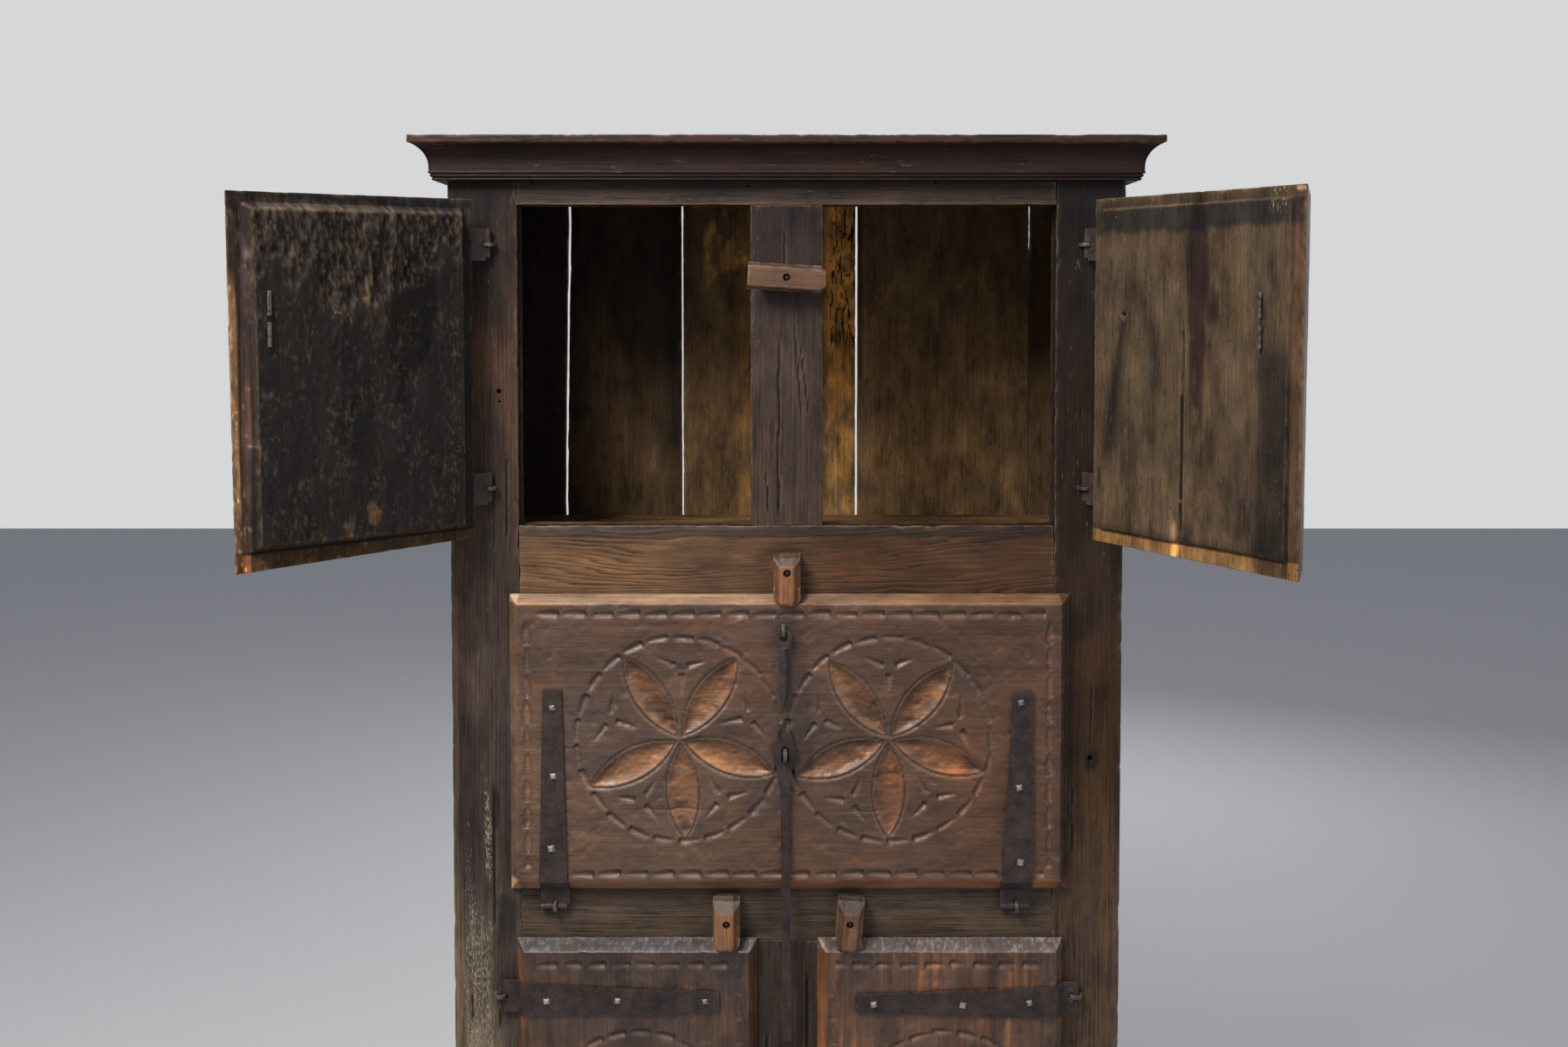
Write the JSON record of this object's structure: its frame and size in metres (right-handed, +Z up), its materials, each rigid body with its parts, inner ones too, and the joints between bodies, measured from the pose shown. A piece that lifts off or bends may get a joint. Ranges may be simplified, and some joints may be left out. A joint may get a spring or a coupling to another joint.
{
  "type": "court cupboard",
  "caption": "Tall oak court cupboard: doors above and below a drop-front flap on forged strap hinges, with turn-buttons, drop pulls, a slotted locking bar and a moulded cornice.",
  "frame": {"origin": "on the floor at the foot of the back, on the centre line", "axes": "+Z up, -Y out of the front towards the room, +X to the right seen from the front"},
  "size_m": [1.4534, 0.7979, 2],
  "materials": {
    "frame_oak": "dark waxed oak with worn edges",
    "door_oak": "brown waxed oak, carved, rubbed lighter on the ridges",
    "inner_oak": "dry unwaxed ochre-brown boards",
    "cornice_oak": "dusty brown moulding with a paler chipped top fillet",
    "button_oak": "handled brown oak",
    "wrought_iron": "forged, pitted, brown-black"
  },
  "bodies": {
    "carcass": {"back_board_1": "inner_oak", "back_board_2": "inner_oak", "back_board_3": "inner_oak", "back_board_4": "inner_oak", "back_board_5": "inner_oak", "bottom_floor": "inner_oak", "bottom_rail": "frame_oak", "button_pivots": "wrought_iron", "cornice_front": "cornice_oak", "cornice_left": "cornice_oak", "cornice_right": "cornice_oak", "floor_bearers": "inner_oak", "hinge_staples": "wrought_iron", "left_side_front_board": "frame_oak", "left_side_rear_board": "frame_oak", "lower_muntin": "frame_oak", "lower_rail": "frame_oak", "middle_floor": "inner_oak", "middle_rail": "frame_oak", "right_side_front_board": "frame_oak", "right_side_rear_board": "frame_oak", "roof_board": "inner_oak", "stile_left": "frame_oak", "stile_right": "frame_oak", "top_rail": "frame_oak", "upper_floor": "inner_oak", "upper_muntin": "frame_oak"},
    "upper_left_door": {"upper_left_door": "door_oak", "upper_left_door_lower_strap": "wrought_iron", "upper_left_door_upper_strap": "wrought_iron", "upper_left_pull_staple": "wrought_iron"},
    "upper_left_pull": {"upper_left_pull": "wrought_iron"},
    "upper_right_door": {"upper_right_door": "door_oak", "upper_right_door_lower_strap": "wrought_iron", "upper_right_door_upper_strap": "wrought_iron", "upper_right_pull_staple": "wrought_iron"},
    "upper_right_pull": {"upper_right_pull": "wrought_iron"},
    "lower_left_door": {"lower_left_door": "door_oak", "lower_left_door_lower_strap": "wrought_iron", "lower_left_door_upper_strap": "wrought_iron", "lower_left_pull_staple": "wrought_iron"},
    "lower_left_pull": {"lower_left_pull": "wrought_iron"},
    "lower_right_door": {"lower_right_door": "door_oak", "lower_right_door_lower_strap": "wrought_iron", "lower_right_door_upper_strap": "wrought_iron", "lower_right_pull_staple": "wrought_iron"},
    "lower_right_pull": {"lower_right_pull": "wrought_iron"},
    "flap": {"flap": "door_oak", "flap_left_strap": "wrought_iron", "flap_right_strap": "wrought_iron", "flap_pull_staple": "wrought_iron", "hasp_staple": "wrought_iron"},
    "flap_pull": {"flap_pull": "wrought_iron"},
    "locking_bar": {"locking_bar": "wrought_iron"},
    "upper_button": {"upper_button": "button_oak"},
    "flap_button": {"flap_button": "button_oak"},
    "lower_left_button": {"lower_left_button": "button_oak"},
    "lower_right_button": {"lower_right_button": "button_oak"}
  },
  "joints": [
    {"name": "upper_left_door_hinge", "type": "hinge", "parent": "carcass", "child": "upper_left_door", "pos_m": [-0.461, -0.439, 1.6465], "axis": [0, 0, -1], "range_deg": [-136, 14]},
    {"name": "upper_right_door_hinge", "type": "hinge", "parent": "carcass", "child": "upper_right_door", "pos_m": [0.463, -0.439, 1.6465], "axis": [0, 0, 1], "range_deg": [-121.5, 28.5]},
    {"name": "lower_left_door_hinge", "type": "hinge", "parent": "carcass", "child": "lower_left_door", "pos_m": [-0.451, -0.439, 0.4585], "axis": [0, 0, -1], "range_deg": [0, 150]},
    {"name": "lower_right_door_hinge", "type": "hinge", "parent": "carcass", "child": "lower_right_door", "pos_m": [0.456, -0.439, 0.4585], "axis": [0, 0, 1], "range_deg": [0, 150]},
    {"name": "flap_hinge", "type": "hinge", "parent": "carcass", "child": "flap", "pos_m": [0, -0.439, 0.7975], "axis": [1, 0, 0], "range_deg": [0, 90]},
    {"name": "locking_bar_hinge", "type": "hinge", "parent": "carcass", "child": "locking_bar", "pos_m": [0.001, -0.439, 0.545], "axis": [1, 0, 0], "range_deg": [0, 150]},
    {"name": "upper_left_pull_swing", "type": "hinge", "parent": "upper_left_door", "child": "upper_left_pull", "pos_m": [-0.74338, -0.67346, 1.722], "axis": [-0.7193, -0.6947, 0], "range_deg": [-110, 0]},
    {"name": "upper_right_pull_swing", "type": "hinge", "parent": "upper_right_door", "child": "upper_right_pull", "pos_m": [0.66985, -0.72391, 1.719], "axis": [-0.5225, 0.8526, 0], "range_deg": [-110, 0]},
    {"name": "lower_left_pull_swing", "type": "hinge", "parent": "lower_left_door", "child": "lower_left_pull", "pos_m": [-0.091, -0.4665, 0.52], "axis": [1, 0, 0], "range_deg": [-110, 0]},
    {"name": "lower_right_pull_swing", "type": "hinge", "parent": "lower_right_door", "child": "lower_right_pull", "pos_m": [0.094, -0.4665, 0.52], "axis": [1, 0, 0], "range_deg": [-110, 0]},
    {"name": "flap_pull_swing", "type": "hinge", "parent": "flap", "child": "flap_pull", "pos_m": [-0.005, -0.4665, 1.24], "axis": [1, 0, 0], "range_deg": [-110, 0]},
    {"name": "upper_button_turn", "type": "hinge", "parent": "carcass", "child": "upper_button", "pos_m": [0, -0.43, 1.784], "axis": [0, -1, 0], "range_deg": [-90, 90]},
    {"name": "flap_button_turn", "type": "hinge", "parent": "carcass", "child": "flap_button", "pos_m": [0.0005, -0.43, 1.329], "axis": [0, -1, 0], "range_deg": [-90, 90]},
    {"name": "lower_left_button_turn", "type": "hinge", "parent": "carcass", "child": "lower_left_button", "pos_m": [-0.094, -0.43, 0.779], "axis": [0, -1, 0], "range_deg": [-90, 90]},
    {"name": "lower_right_button_turn", "type": "hinge", "parent": "carcass", "child": "lower_right_button", "pos_m": [0.0985, -0.43, 0.779], "axis": [0, -1, 0], "range_deg": [-90, 90]}
  ],
  "couplings": [
    {"joint": "locking_bar_hinge", "follows": "flap_hinge", "ratio": 1.6667}
  ]
}
